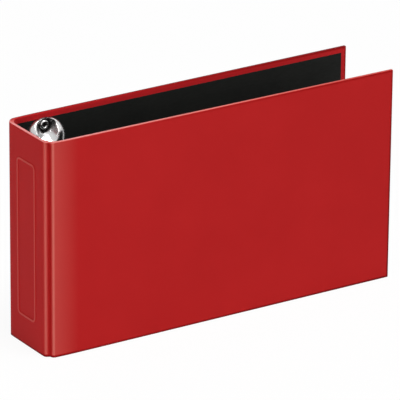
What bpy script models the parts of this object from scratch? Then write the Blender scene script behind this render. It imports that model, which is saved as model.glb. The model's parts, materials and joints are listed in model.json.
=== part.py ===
# A landscape two-ring binder standing on its long edge, in metres, +Z up.
# Three boards wrapped in red film and lined in black make the case: front cover, spine and back cover.
# A snap ring mechanism is riveted to the inside of the back cover.
# The spine is at -X, the front cover at -Y, and the origin is the middle of the outer box's bottom.

import math

import bmesh
import bpy
from mathutils import Matrix, Vector

# The case
CASE_LENGTH = 0.250
CASE_HEIGHT = 0.140
CASE_DEPTH = 0.050
FRONT_SPLAY = math.radians(0.8)

# The layers of each panel
PANEL_THICKNESS = 0.0022
FILM_THICKNESS = 0.0003
LAYER_GAP = 0.0002
TURN_IN = 0.0038
EDGE_ROUND = 0.0004

# The creases between the spine and the covers
END_FLAT = 0.0002
HINGE_DEPTH = 0.0020
HINGE_GAP = 0.0014
END_RIM = 0.0012
STRIP_SETBACK = 0.0005

# The ring mechanism, on the inside of the back cover
MECHANISM_OFFSET = 0.0260
HOUSING_SETBACK = 0.0035
HOUSING_WIDTH = 0.028
HOUSING_RISE = 0.008
HOUSING_SHEET = 0.0008
HOUSING_FOOT = 0.00055
END_ROUNDING = 0.012
TIP_WIDTH = 0.004
TIP_RISE = 0.005
RISE_RUN = 0.009
CROWN_POWER = 4
DISH_FLOOR = 0.00125
DISH_FLAT_RADIUS = 0.0036
DISH_RIM_RADIUS = 0.0090
DISH_LENGTHENING = 1.4
LIP_WIDTH = 0.0024
LIP_SHEET = 0.00055

BLADE_SHEET = 0.0008
BLADE_SETBACK = 0.016
BLADE_CLEARANCE = 0.0003
BLADE_MEETING_GAP = 0.0004

RING_SPACING = 0.080
RING_BORE = 0.025
WIRE_DIAMETER = 0.003
FOOT_INSET = 0.0020
FOOT_RISE = 0.0008
FOOT_BEND = 0.0020
TENON_DIAMETER = 0.0018
TENON_PROUD = 0.0002
TIP_GAP = 0.0003
NIB_DIAMETER = 0.0016
NIB_LENGTH = 0.0012
NIB_CLEARANCE = 0.0003
NIB_TAPER = 0.7
OPENING_ANGLE = math.radians(18)
SLOT_CLEARANCE = 0.0004

RIVET_INSET = 0.0042
RIVET_SHANK = 0.0040
RIVET_FLANGE = 0.0062
RIVET_FLANGE_SHEET = 0.0008
RIVET_BORE = 0.0025
RIVET_BORE_DEPTH = 0.0036
RIVET_HEAD = 0.0085
RIVET_HEAD_RISE = 0.0012
SEAT_GAP = 0.00025

# Facets
ROUND_SIDES = 24
WIRE_SIDES = 12
ARC_STEPS = 6
RING_STEPS = 14
HOUSING_COLUMNS = 20
HOUSING_END_ROWS = 16
END_CROWDING = 1.6
MERGE_DISTANCE = 0.000004

# Places that follow from the sizes, before the case is centred
PANEL_INSIDE = FILM_THICKNESS + LAYER_GAP
END_ROUND = PANEL_THICKNESS - PANEL_INSIDE - END_FLAT
CREASE_SETBACK = HINGE_DEPTH + HINGE_GAP
SPINE_X = -CASE_LENGTH / 2
FRONT_Y = -CASE_DEPTH / 2
BACK_Y = CASE_DEPTH / 2
HINGE_X = SPINE_X + HINGE_DEPTH
COVER_LENGTH = CASE_LENGTH - CREASE_SETBACK
SPINE_LENGTH = CASE_DEPTH - 2 * CREASE_SETBACK
MECHANISM_X = SPINE_X + MECHANISM_OFFSET
MECHANISM_Y = BACK_Y - PANEL_THICKNESS
MIDDLE_Z = CASE_HEIGHT / 2
HOUSING_LENGTH = CASE_HEIGHT - 2 * HOUSING_SETBACK
BLADE_LENGTH = HOUSING_LENGTH - 2 * BLADE_SETBACK
RIVET_Z_OFFSET = HOUSING_LENGTH / 2 - RIVET_INSET

# The outer box runs from the splayed front cover's outer corner to the rivet heads
SPLAY_REACH = (CASE_LENGTH - HINGE_DEPTH) * math.sin(FRONT_SPLAY) + HINGE_DEPTH * math.cos(FRONT_SPLAY)
LOWEST_Y = FRONT_Y + HINGE_DEPTH - SPLAY_REACH
HIGHEST_Y = BACK_Y + SEAT_GAP + RIVET_HEAD_RISE
CENTRING_Y = -(LOWEST_Y + HIGHEST_Y) / 2

# The blades lie level in the housing, and each turns about its outer edge


def crown_reach(height):
    """How far the crowned housing's outer surface reaches from its middle line at a height."""
    share = (height - HOUSING_FOOT) / (HOUSING_RISE - HOUSING_FOOT)
    return HOUSING_WIDTH / 2 * (1 - share ** 2) ** (1 / CROWN_POWER)


LIP_BOTTOM = HOUSING_FOOT - SEAT_GAP
LIP_TOP = LIP_BOTTOM + LIP_SHEET
BLADE_BOTTOM = LIP_TOP + BLADE_CLEARANCE
BLADE_TOP = BLADE_BOTTOM + BLADE_SHEET
PIVOT_HEIGHT = (BLADE_BOTTOM + BLADE_TOP) / 2
SLOT_REACH = crown_reach(BLADE_TOP) + SEAT_GAP
BLADE_REACH = crown_reach(BLADE_TOP) - HOUSING_SHEET - BLADE_CLEARANCE
PIVOT_X = BLADE_REACH - BLADE_SHEET / 2

# Each half ring runs from the meeting point down to a bend, and its foot stands on a blade
WIRE_RADIUS = WIRE_DIAMETER / 2
RING_RADIUS = RING_BORE / 2 + WIRE_RADIUS
FOOT_X = PIVOT_X - FOOT_INSET
FOOT_BOTTOM = BLADE_TOP + SEAT_GAP
BEND_HEIGHT = FOOT_BOTTOM + FOOT_RISE
BEND_X = FOOT_X + FOOT_BEND
RING_HEIGHT = BEND_HEIGHT + math.sqrt((RING_RADIUS + FOOT_BEND) ** 2 - BEND_X ** 2)
BEND_ANGLE = math.acos(BEND_X / (RING_RADIUS + FOOT_BEND))


def material(name, colour, roughness, metallic=0.0):
    made = bpy.data.materials.new(name)
    made.use_nodes = True
    shader = made.node_tree.nodes["Principled BSDF"]
    shader.inputs["Base Color"].default_value = (*colour, 1)
    shader.inputs["Roughness"].default_value = roughness
    shader.inputs["Metallic"].default_value = metallic
    return made


RED_FILM = ((0.40, 0.018, 0.020), 0.42)
BLACK_LINING = ((0.013, 0.013, 0.012), 0.75)
GREY_BOARD = ((0.36, 0.34, 0.31), 0.9)
BRIGHT_STEEL = ((0.78, 0.78, 0.77), 0.16, 1.0)


def empty(name, location, parent=None):
    made = bpy.data.objects.new(name, None)
    made.location = location
    made.parent = parent
    bpy.context.collection.objects.link(made)
    return made


def finished(name, shape, look, parent=None, smooth=None):
    """Turns a bmesh into a named object with its own material."""
    bmesh.ops.recalc_face_normals(shape, faces=shape.faces)
    mesh = bpy.data.meshes.new(name)
    shape.to_mesh(mesh)
    shape.free()
    if smooth is not None:
        mesh.shade_smooth()
        mesh.set_sharp_from_angle(angle=smooth)
    mesh.materials.append(material(name, *look))
    made = bpy.data.objects.new(name, mesh)
    made.parent = parent
    bpy.context.collection.objects.link(made)
    return made


def cutter(name, shape, parent=None):
    bmesh.ops.recalc_face_normals(shape, faces=shape.faces)
    mesh = bpy.data.meshes.new(name)
    shape.to_mesh(mesh)
    shape.free()
    made = bpy.data.objects.new(name, mesh)
    made.parent = parent
    made.hide_render = True
    made.display_type = "WIRE"
    bpy.context.collection.objects.link(made)
    return made


def boolean(target, other, operation):
    change = target.modifiers.new(other.name, "BOOLEAN")
    change.operation = operation
    change.object = other
    change.solver = "EXACT"


def extruded(outline, bottom, top):
    """A prism over a closed outline of (x, y) points, from bottom to top in Z."""
    shape = bmesh.new()
    base = shape.faces.new([shape.verts.new((x, y, bottom)) for x, y in outline])
    grown = bmesh.ops.extrude_face_region(shape, geom=[base])
    raised = [part for part in grown["geom"] if isinstance(part, bmesh.types.BMVert)]
    bmesh.ops.translate(shape, verts=raised, vec=(0, 0, top - bottom))
    return shape


def block(low, high):
    outline = [(low[0], low[1]), (high[0], low[1]), (high[0], high[1]), (low[0], high[1])]
    return extruded(outline, low[2], high[2])


def corner_arc(centre, radius, start, end):
    """Points of a round corner, from one angle to another in degrees."""
    steps = [math.radians(start + (end - start) * step / ARC_STEPS) for step in range(ARC_STEPS + 1)]
    return [(centre[0] + radius * math.cos(turn), centre[1] + radius * math.sin(turn)) for turn in steps]


def panel_outline(length, inset, both_ends_round):
    """A panel's section: X runs from its crease, Y from its outer face inwards."""
    low = inset
    far = length - inset
    inner = PANEL_THICKNESS - inset
    radius = END_ROUND - inset
    points = corner_arc((END_ROUND, END_ROUND), radius, 180, 270)
    if both_ends_round:
        points += corner_arc((length - END_ROUND, END_ROUND), radius, 270, 360)
    else:
        points += [(far, low)]
    return points + [(far, inner), (low, inner)]


def rounded_caps(shape):
    """Rounds the edges where the film folds over the board's top and bottom."""
    heights = [vert.co.z for vert in shape.verts]
    ends = (min(heights), max(heights))
    rims = [
        edge
        for edge in shape.edges
        if any(all(abs(vert.co.z - end) < MERGE_DISTANCE for vert in edge.verts) for end in ends)
    ]
    bmesh.ops.bevel(shape, geom=rims, offset=EDGE_ROUND, segments=2, profile=0.5, affect="EDGES")
    return shape


def panel(name, length, place, both_ends_round=False):
    """A wrapped panel: its film skin with turned-in edges, its board and its lining."""
    skin_shape = rounded_caps(extruded(panel_outline(length, 0, both_ends_round), 0, CASE_HEIGHT))
    skin = finished(name + "_skin", skin_shape, RED_FILM, place)
    hollow = extruded(
        panel_outline(length, FILM_THICKNESS, both_ends_round),
        FILM_THICKNESS,
        CASE_HEIGHT - FILM_THICKNESS,
    )
    boolean(skin, cutter(name + "_hollow", hollow, place), "DIFFERENCE")
    far_rim = END_RIM if both_ends_round else TURN_IN
    film_inside = PANEL_THICKNESS - FILM_THICKNESS
    window = block(
        (END_RIM, film_inside - LAYER_GAP, TURN_IN),
        (length - far_rim, PANEL_THICKNESS + LAYER_GAP, CASE_HEIGHT - TURN_IN),
    )
    boolean(skin, cutter(name + "_window", window, place), "DIFFERENCE")
    board_shape = extruded(
        panel_outline(length, PANEL_INSIDE, both_ends_round), PANEL_INSIDE, CASE_HEIGHT - PANEL_INSIDE
    )
    board = finished(name + "_board", board_shape, GREY_BOARD, place)
    lining_shape = block(
        (END_RIM + LAYER_GAP, film_inside, TURN_IN + LAYER_GAP),
        (length - far_rim - LAYER_GAP, PANEL_THICKNESS, CASE_HEIGHT - TURN_IN - LAYER_GAP),
    )
    lining = finished(name + "_lining", lining_shape, BLACK_LINING, place)
    return skin, board, lining


def strip(name, ends, thickness, look, place):
    """A thin upright strip between two points of the crease, shorter than the case at both ends."""
    along = (Vector(ends[1]) - Vector(ends[0])).normalized()
    side = Vector((-along.y, along.x)) * thickness / 2
    outline = [
        Vector(ends[0]) + side,
        Vector(ends[0]) - side,
        Vector(ends[1]) - side,
        Vector(ends[1]) + side,
    ]
    shape = extruded([tuple(point) for point in outline], STRIP_SETBACK, CASE_HEIGHT - STRIP_SETBACK)
    return finished(name, shape, look, place)


def crease(name, place):
    """The film and the lining that bridge the spine and a cover, seen from the hinge's axis."""
    film_near = HINGE_GAP - LAYER_GAP
    film_far = PANEL_THICKNESS - HINGE_DEPTH - FILM_THICKNESS / 2
    strip(name + "_film", [(film_far, film_near), (film_near, film_far)], FILM_THICKNESS, RED_FILM, place)
    lining_near = PANEL_THICKNESS - HINGE_DEPTH + LAYER_GAP + FILM_THICKNESS / 2
    lining_far = HINGE_GAP + END_RIM
    strip(
        name + "_lining",
        [(lining_near, lining_far), (lining_far, lining_near)],
        FILM_THICKNESS,
        BLACK_LINING,
        place,
    )


def cylinder(radius, centre, bottom, top):
    """An upright round prism whose flats keep the full radius clear."""
    reach = radius / math.cos(math.pi / ROUND_SIDES)
    turns = [2 * math.pi * (side + 0.5) / ROUND_SIDES for side in range(ROUND_SIDES)]
    outline = [(centre[0] + reach * math.cos(turn), centre[1] + reach * math.sin(turn)) for turn in turns]
    return extruded(outline, bottom, top)


def facing_up(x, z):
    """Stands a shape drawn on its base in XY, rising in Z, on the back cover's inside at (x, z)."""
    turn = Matrix.Rotation(math.pi / 2, 4, "X")
    return Matrix.Translation((x, 0, z)) @ turn


def smooth_step(value):
    value = min(max(value, 0), 1)
    return value * value * (3 - 2 * value)


def housing_width(from_end):
    """The housing's half width, which rounds in towards each end."""
    share = min(from_end / END_ROUNDING, 1)
    return TIP_WIDTH / 2 + (HOUSING_WIDTH - TIP_WIDTH) / 2 * math.sqrt(1 - (1 - share) ** 2)


def housing_height(across, from_end):
    """The housing's outer surface: a crowned arch, rounded at each end, with a long dish round the rivet."""
    half = housing_width(from_end)
    crest = TIP_RISE + (HOUSING_RISE - TIP_RISE) * smooth_step(from_end / RISE_RUN)
    share = min(abs(across) / half, 1)
    arch = HOUSING_FOOT + (crest - HOUSING_FOOT) * math.sqrt(1 - share ** CROWN_POWER)
    if arch < DISH_FLOOR:
        return arch
    along = from_end - RIVET_INSET
    from_rivet = math.hypot(across, along / DISH_LENGTHENING if along > 0 else along)
    share = (from_rivet - DISH_FLAT_RADIUS) / (DISH_RIM_RADIUS - DISH_FLAT_RADIUS)
    return DISH_FLOOR + (arch - DISH_FLOOR) * smooth_step(share)


def ring_heights():
    return {"upper": MIDDLE_Z + RING_SPACING / 2, "lower": MIDDLE_Z - RING_SPACING / 2}


def rivet_heights():
    return {"upper": MIDDLE_Z + RIVET_Z_OFFSET, "lower": MIDDLE_Z - RIVET_Z_OFFSET}


def housing(place):
    """The sprung cover plate of the mechanism, with curled lips under the blades and slots for the wires."""
    worked = max(END_ROUNDING, RISE_RUN, RIVET_INSET + DISH_RIM_RADIUS * DISH_LENGTHENING)
    rows = [worked * (row / HOUSING_END_ROWS) ** END_CROWDING for row in range(HOUSING_END_ROWS + 1)]
    stations = [(from_end, from_end) for from_end in rows]
    stations += [(HOUSING_LENGTH - from_end, from_end) for from_end in reversed(rows)]
    shape = bmesh.new()
    lines = []
    for along, from_end in stations:
        line = []
        for column in range(HOUSING_COLUMNS + 1):
            turn = math.pi * column / HOUSING_COLUMNS
            across = -housing_width(from_end) * math.cos(turn)
            point = (across, -housing_height(across, from_end), MIDDLE_Z - HOUSING_LENGTH / 2 + along)
            line.append(shape.verts.new(point))
        lines.append(line)
    for first, second in zip(lines, lines[1:]):
        for column in range(HOUSING_COLUMNS):
            shape.faces.new((first[column], first[column + 1], second[column + 1], second[column]))
    made = finished("ring_housing", shape, BRIGHT_STEEL, place, smooth=math.radians(40))
    wall = made.modifiers.new("wall", "SOLIDIFY")
    wall.thickness = HOUSING_SHEET
    wall.offset = -1
    wall.use_even_offset = True
    lip_outside = crown_reach(LIP_TOP) - HOUSING_SHEET / 2
    for side, name in ((-1, "spine"), (1, "fore")):
        reach = sorted((side * lip_outside, side * (lip_outside - LIP_WIDTH)))
        lip = block(
            (reach[0], -LIP_TOP, MIDDLE_Z - BLADE_LENGTH / 2),
            (reach[1], -LIP_BOTTOM, MIDDLE_Z + BLADE_LENGTH / 2),
        )
        boolean(made, cutter(name + "_lip", lip, place), "UNION")
        for ring, height in ring_heights().items():
            half_slot = WIRE_RADIUS + SLOT_CLEARANCE
            reach = sorted((side * (FOOT_X - half_slot), side * SLOT_REACH))
            slot = block(
                (reach[0], -HOUSING_RISE - SEAT_GAP, height - half_slot),
                (reach[1], -BLADE_TOP, height + half_slot),
            )
            boolean(made, cutter(f"{name}_{ring}_slot", slot, place), "DIFFERENCE")
    for name, height in rivet_heights().items():
        hole = cylinder(RIVET_SHANK / 2 + SEAT_GAP, (0, 0), 0, HOUSING_RISE)
        hole.transform(facing_up(0, height))
        boolean(made, cutter(name + "_seat_hole", hole, place), "DIFFERENCE")
    return made


def blade(name, side, pivot):
    """A level hinge plate, with its origin on its outer edge and a hole for each ring's tenon."""
    outer = side * (BLADE_REACH - PIVOT_X)
    inner = -side * (PIVOT_X - BLADE_MEETING_GAP / 2)
    reach = sorted((inner, outer))
    half = BLADE_LENGTH / 2
    shape = block((reach[0], -BLADE_SHEET / 2, -half), (reach[1], BLADE_SHEET / 2, half))
    made = finished(name, shape, BRIGHT_STEEL, pivot)
    for ring, height in ring_heights().items():
        hole = cylinder(TENON_DIAMETER / 2 + SEAT_GAP, (0, 0), -BLADE_SHEET, BLADE_SHEET)
        hole.transform(facing_up(side * (FOOT_X - PIVOT_X), height - MIDDLE_Z))
        boolean(made, cutter(f"{name}_{ring}_hole", hole, pivot), "DIFFERENCE")
    return made


def wire_path(nib):
    """Stations of one half ring as (x, height, direction angle, radius), from its tenon to its tip."""
    tenon = TENON_DIAMETER / 2
    tenon_end = BLADE_BOTTOM - TENON_PROUD
    up = math.pi / 2
    stations = [(FOOT_X, tenon_end, up, tenon), (FOOT_X, FOOT_BOTTOM, up, tenon)]
    stations += [(FOOT_X, FOOT_BOTTOM, up, WIRE_RADIUS)]
    for step in range(ARC_STEPS + 1):
        turn = (up - BEND_ANGLE) * step / ARC_STEPS
        x = BEND_X - FOOT_BEND * math.cos(turn)
        stations.append((x, BEND_HEIGHT + FOOT_BEND * math.sin(turn), up - turn, WIRE_RADIUS))
    bend_foot = stations[-1]
    start = math.atan2(bend_foot[1] - RING_HEIGHT, bend_foot[0])
    end = math.acos(TIP_GAP / 2 / RING_RADIUS)
    for step in range(1, RING_STEPS + 1):
        turn = start + (end - start) * step / RING_STEPS
        x = RING_RADIUS * math.cos(turn)
        stations.append((x, RING_HEIGHT + RING_RADIUS * math.sin(turn), turn + up, WIRE_RADIUS))
    tip_x, tip_height, heading, _ = stations[-1]
    reach = NIB_LENGTH if nib else -NIB_LENGTH - NIB_CLEARANCE
    root = NIB_DIAMETER / 2 if nib else NIB_DIAMETER / 2 + NIB_CLEARANCE
    end_x = tip_x + reach * math.cos(heading)
    end_height = tip_height + reach * math.sin(heading)
    stations.append((tip_x, tip_height, heading, root))
    stations.append((end_x, end_height, heading, root * NIB_TAPER))
    return stations


def half_ring(name, side, height, pivot, nib):
    """One bent wire of a ring, drawn as rings of points joined station by station."""
    shape = bmesh.new()
    loops = []
    for x, rise, heading, radius in wire_path(nib):
        loop = []
        for step in range(WIRE_SIDES):
            turn = 2 * math.pi * step / WIRE_SIDES
            out = radius * math.cos(turn)
            point = (
                side * (x - math.sin(heading) * out - PIVOT_X),
                PIVOT_HEIGHT - rise - math.cos(heading) * out,
                height - MIDDLE_Z + radius * math.sin(turn),
            )
            loop.append(shape.verts.new(point))
        loops.append(loop)
    for first, second in zip(loops, loops[1:]):
        for step in range(WIRE_SIDES):
            after = (step + 1) % WIRE_SIDES
            shape.faces.new((first[step], first[after], second[after], second[step]))
    shape.faces.new(loops[0])
    shape.faces.new(loops[-1])
    return finished(name, shape, BRIGHT_STEEL, pivot, smooth=math.radians(50))


def rivet(name, height, place):
    """A tubular rivet: rolled eyelet on the housing's seat, shank through the cover, low dome outside."""
    seat = DISH_FLOOR + SEAT_GAP
    eyelet_top = seat + RIVET_FLANGE_SHEET
    cover_outside = -PANEL_THICKNESS - SEAT_GAP
    head_outside = cover_outside - RIVET_HEAD_RISE
    bore_end = eyelet_top - RIVET_BORE_DEPTH
    profile = [(0, bore_end), (RIVET_BORE / 2, bore_end)]
    profile += [(RIVET_BORE / 2, eyelet_top - RIVET_FLANGE_SHEET / 2)]
    roll_middle = (RIVET_BORE + RIVET_FLANGE) / 4
    roll_half = (RIVET_FLANGE - RIVET_BORE) / 4
    for step in range(1, ARC_STEPS + 1):
        turn = math.pi * (1 - step / ARC_STEPS)
        rise = RIVET_FLANGE_SHEET / 2 * math.sin(turn)
        profile.append((roll_middle + roll_half * math.cos(turn), eyelet_top - RIVET_FLANGE_SHEET / 2 + rise))
    profile += [(RIVET_FLANGE / 2, seat), (RIVET_SHANK / 2, seat)]
    profile += [(RIVET_SHANK / 2, cover_outside), (RIVET_HEAD / 2, cover_outside)]
    for step in range(1, ARC_STEPS + 1):
        turn = math.pi / 2 * step / ARC_STEPS
        drop = RIVET_HEAD_RISE * math.sin(turn)
        profile.append((RIVET_HEAD / 2 * math.cos(turn), cover_outside - drop))
    profile[-1] = (0, head_outside)
    shape = bmesh.new()
    points = [shape.verts.new((x, 0, rise)) for x, rise in profile]
    edges = [shape.edges.new(pair) for pair in zip(points, points[1:])]
    bmesh.ops.spin(
        shape,
        geom=points + edges,
        cent=(0, 0, 0),
        axis=(0, 0, 1),
        angle=2 * math.pi,
        steps=ROUND_SIDES,
        use_merge=True,
    )
    bmesh.ops.remove_doubles(shape, verts=shape.verts, dist=MERGE_DISTANCE)
    shape.transform(facing_up(0, height))
    return finished(name, shape, BRIGHT_STEEL, place, smooth=math.radians(40))


def rivet_clearances(pieces, place):
    """Drills the back cover's layers for the rivets' shanks."""
    for name, height in rivet_heights().items():
        hole = cylinder(RIVET_SHANK / 2 + SEAT_GAP, (0, 0), -2 * PANEL_THICKNESS, PANEL_THICKNESS)
        hole.transform(facing_up(0, height))
        drill = cutter(name + "_rivet_hole", hole, place)
        for piece in pieces:
            boolean(piece, drill, "DIFFERENCE")


def build():
    for old in list(bpy.data.objects):
        bpy.data.objects.remove(old, do_unlink=True)
    case = empty("case", (0, CENTRING_Y, 0))

    spine = empty("spine", (SPINE_X, FRONT_Y + CREASE_SETBACK, 0), case)
    spine.rotation_euler.z = math.pi / 2
    spine.scale.y = -1
    panel("spine", SPINE_LENGTH, spine, both_ends_round=True)

    front_hinge = empty("front_hinge", (HINGE_X, FRONT_Y + HINGE_DEPTH, 0), case)
    crease("front_hinge", front_hinge)
    front_turn = empty("front_turn", (HINGE_X, FRONT_Y + HINGE_DEPTH, 0), case)
    front_turn.rotation_euler.z = -FRONT_SPLAY
    front = empty("front", (HINGE_GAP, -HINGE_DEPTH, 0), front_turn)
    panel("front", COVER_LENGTH, front)

    back_hinge = empty("back_hinge", (HINGE_X, BACK_Y - HINGE_DEPTH, 0), case)
    back_hinge.scale.y = -1
    crease("back_hinge", back_hinge)
    back = empty("back", (HINGE_GAP, -HINGE_DEPTH, 0), back_hinge)
    back_pieces = panel("back", COVER_LENGTH, back)

    mechanism = empty("mechanism", (MECHANISM_X, MECHANISM_Y, 0), case)
    rivet_clearances(back_pieces, mechanism)
    housing(mechanism)
    for name, height in rivet_heights().items():
        rivet(name + "_rivet", height, mechanism)
    for side, name in ((-1, "spine_side"), (1, "fore_side")):
        pivot = empty(name + "_pivot", (side * PIVOT_X, -PIVOT_HEIGHT, MIDDLE_Z), mechanism)
        blade(name + "_blade", side, pivot)
        for ring, height in ring_heights().items():
            half_ring(f"{ring}_ring_{name}", side, height, pivot, nib=side > 0)


build()
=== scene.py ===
# Looks of the red two-ring binder: wrapped covers, black linings and the bright ring mechanism,
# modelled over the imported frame. Metres, +Z up, spine at -X, front cover at -Y.
import json
import math

import bmesh
import bpy
from mathutils import Matrix, Quaternion, Vector
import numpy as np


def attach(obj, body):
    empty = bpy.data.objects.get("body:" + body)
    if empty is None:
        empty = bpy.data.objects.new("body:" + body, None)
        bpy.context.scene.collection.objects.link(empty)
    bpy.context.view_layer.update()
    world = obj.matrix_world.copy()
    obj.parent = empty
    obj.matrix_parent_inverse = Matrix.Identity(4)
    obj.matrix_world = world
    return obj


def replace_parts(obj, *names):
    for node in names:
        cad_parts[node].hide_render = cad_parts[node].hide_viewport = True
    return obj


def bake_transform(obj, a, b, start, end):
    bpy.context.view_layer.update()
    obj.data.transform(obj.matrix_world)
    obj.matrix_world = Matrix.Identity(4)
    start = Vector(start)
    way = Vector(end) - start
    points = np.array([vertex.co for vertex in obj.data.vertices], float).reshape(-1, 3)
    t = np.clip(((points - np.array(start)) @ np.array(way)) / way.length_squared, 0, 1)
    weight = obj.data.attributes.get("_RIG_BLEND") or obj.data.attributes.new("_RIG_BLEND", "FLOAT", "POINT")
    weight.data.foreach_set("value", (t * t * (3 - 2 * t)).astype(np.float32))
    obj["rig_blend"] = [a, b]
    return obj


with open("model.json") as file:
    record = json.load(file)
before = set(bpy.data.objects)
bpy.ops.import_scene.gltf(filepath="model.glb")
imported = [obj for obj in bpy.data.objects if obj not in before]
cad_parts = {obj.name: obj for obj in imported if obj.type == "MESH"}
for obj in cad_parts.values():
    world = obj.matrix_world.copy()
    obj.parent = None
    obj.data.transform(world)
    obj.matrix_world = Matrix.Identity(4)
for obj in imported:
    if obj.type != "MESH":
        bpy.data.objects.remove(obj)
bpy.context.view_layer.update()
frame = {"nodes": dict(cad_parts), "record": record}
mm = 0.001
near = mm / 100  # closer than this is the same place
tiny = mm / 1000
white = (1, 1, 1, 1)
joints = {joint["name"]: joint for joint in frame["record"]["behaviour"]["joints"]}
print("frame loaded")


# small helpers


def addNode(tree, kind, values=None, **options):
    node = tree.nodes.new(kind)
    for name, value in options.items():
        setattr(node, name, value)
    for name, value in (values or {}).items():
        node.inputs[name].default_value = value
    return node


def newMaterial(name, values):
    material = bpy.data.materials.new(name)
    material.use_nodes = True
    tree = material.node_tree
    shader = tree.nodes["Principled BSDF"]
    for socket, value in values.items():
        shader.inputs[socket].default_value = value
    place = addNode(tree, "ShaderNodeTexCoord")
    return material, tree, shader, place.outputs["Object"]


def noiseOn(tree, place, scale, detail=2.0, noiseStretchAndPaintedLight=None, roughness=0.55):
    noise = addNode(tree, "ShaderNodeTexNoise", {"Scale": scale, "Detail": detail, "Roughness": roughness})
    if noiseStretchAndPaintedLight:
        turn = addNode(tree, "ShaderNodeMapping", {"Scale": noiseStretchAndPaintedLight})
        tree.links.new(place, turn.inputs["Vector"])
        place = turn.outputs["Vector"]
    tree.links.new(place, noise.inputs["Vector"])
    return noise.outputs["Fac"]


def spread(tree, value, low, high, start=0.3, end=0.7):
    ranged = addNode(
        tree,
        "ShaderNodeMapRange",
        {"From Min": start, "From Max": end, "To Min": low, "To Max": high},
    )
    tree.links.new(value, ranged.inputs["Value"])
    return ranged.outputs["Result"]


def attributeOn(tree, name):
    return addNode(tree, "ShaderNodeAttribute", attribute_name=name).outputs["Fac"]


def twoColours(tree, value, dark, light):
    mix = addNode(tree, "ShaderNodeMix", data_type="RGBA")
    mix.inputs["A"].default_value = (*dark, 1)
    mix.inputs["B"].default_value = (*light, 1)
    tree.links.new(spread(tree, value, 0.0, 1.0), mix.inputs["Factor"])
    return mix.outputs["Result"]


def bumps(tree, shader, heights):
    normal = None
    for value, strength, distance in heights:
        bump = addNode(tree, "ShaderNodeBump", {"Strength": strength, "Distance": distance})
        tree.links.new(value, bump.inputs["Height"])
        if normal:
            tree.links.new(normal, bump.inputs["Normal"])
        normal = bump.outputs["Normal"]
    tree.links.new(normal, shader.inputs["Normal"])


def towards(tree, under, colour, factor):
    mix = addNode(tree, "ShaderNodeMix", data_type="RGBA")
    mix.inputs["B"].default_value = (*colour, 1)
    tree.links.new(under, mix.inputs["A"])
    tree.links.new(factor, mix.inputs["Factor"])
    return mix.outputs["Result"]


def piece(name, bm, material, body=None, smooth=35):
    mesh = bpy.data.meshes.new(name)
    bm.edges.index_update()
    openEdges = [edge.index for edge in bm.edges if edge.is_boundary]
    bm.to_mesh(mesh)
    bm.free()
    mesh.materials.append(material)
    mesh.shade_smooth()
    mesh.set_sharp_from_angle(angle=math.radians(smooth))
    for index in openEdges:  # a wall's rim stays crisp
        mesh.edges[index].use_edge_sharp = True
    made = bpy.data.objects.new(name, mesh)
    bpy.context.collection.objects.link(made)
    if body:
        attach(made, body)
    return made


def addWall(made, thickness):
    # the mesh is the outer face, and the sheet lies behind it
    wall = made.modifiers.new("wall", "SOLIDIFY")
    wall.thickness = thickness
    wall.offset = -1


def boxShape(low, high):
    bm = bmesh.new()
    bmesh.ops.create_cube(bm, size=1)
    size = Vector(high) - Vector(low)
    bmesh.ops.scale(bm, vec=size, verts=bm.verts)
    bmesh.ops.translate(bm, vec=Vector(low) + size / 2, verts=bm.verts)
    return bm


def softEdges(bm, edges, offset, segments, clamp=True):
    return bmesh.ops.bevel(
        bm,
        geom=edges,
        offset=offset,
        affect="EDGES",
        segments=segments,
        profile=0.5,
        material=-1,
        clamp_overlap=clamp,
    )


def sharpEdges(bm, angle=40):
    return [edge for edge in bm.edges if edge.calc_face_angle(0) > math.radians(angle)]


def only(kind, parts):
    return [part for part in parts if isinstance(part, kind)]


def everything(bm):
    return bm.verts[:] + bm.edges[:] + bm.faces[:]


def outward(bm, dist=tiny):
    bmesh.ops.remove_doubles(bm, verts=bm.verts, dist=dist)
    bmesh.ops.recalc_face_normals(bm, faces=bm.faces)


def smoothStep(value):
    value = min(max(value, 0), 1)
    return value * value * (3 - 2 * value)


def markVerts(bm, name, valueAt):
    layer = bm.verts.layers.float.new(name)
    for vert in bm.verts:
        vert[layer] = valueAt(vert.co)


# finishes, with each bump as (strength, distance)

filmFinish = {
    "redDark": (0.378, 0.0126, 0.0132),
    "redLight": (0.402, 0.0140, 0.0146),
    "turnedInPaintedLight": (0.485, 0.0165, 0.0195),
    "ridgeHighlight": (0.555, 0.118, 0.098),
    "rimPaintedLight": (0.66, 0.25, 0.25),
    "grooveShade": (0.29, 0.006, 0.006),
    "foot": (0.16, 0.006, 0.008),
    # painted light level at which each tone starts and is full: ridge and rim are painted highlights, groove
    # and foot are painted shade
    "tones": {"ridgeHighlight": (0.0, 1.0), "rimPaintedLight": (1.0, 2.0), "grooveShade": (0.0, -1.0), "foot": (-1.0, -2.0)},
    "patchScale": 26,
    "grainScale": 1500,
    "pebbleScale": 1150,
    "pebbleSmoothness": 0.8,
    "roughness": (0.36, 0.48),
    "specular": 0.028,
    "specularTint": (1.0, 0.72, 0.66, 1),
    "patchBump": (0.10, 0.0012),
    "pebbleBump": (0.16, 0.00012),
    "grainBump": (0.12, 0.00006),
}
filmRed, tree, shader, place = newMaterial(
    "filmRed",
    {"Specular IOR Level": filmFinish["specular"], "Specular Tint": filmFinish["specularTint"]},
)
patch = noiseOn(tree, place, filmFinish["patchScale"], detail=3)
grain = noiseOn(tree, place, filmFinish["grainScale"])
colour = twoColours(tree, patch, filmFinish["redDark"], filmFinish["redLight"])
# painted light: the film turned in over the edges is painted a little lighter than the outside, standing in
# for light the inside misses
colour = towards(tree, colour, filmFinish["turnedInPaintedLight"], attributeOn(tree, "inside"))
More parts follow.
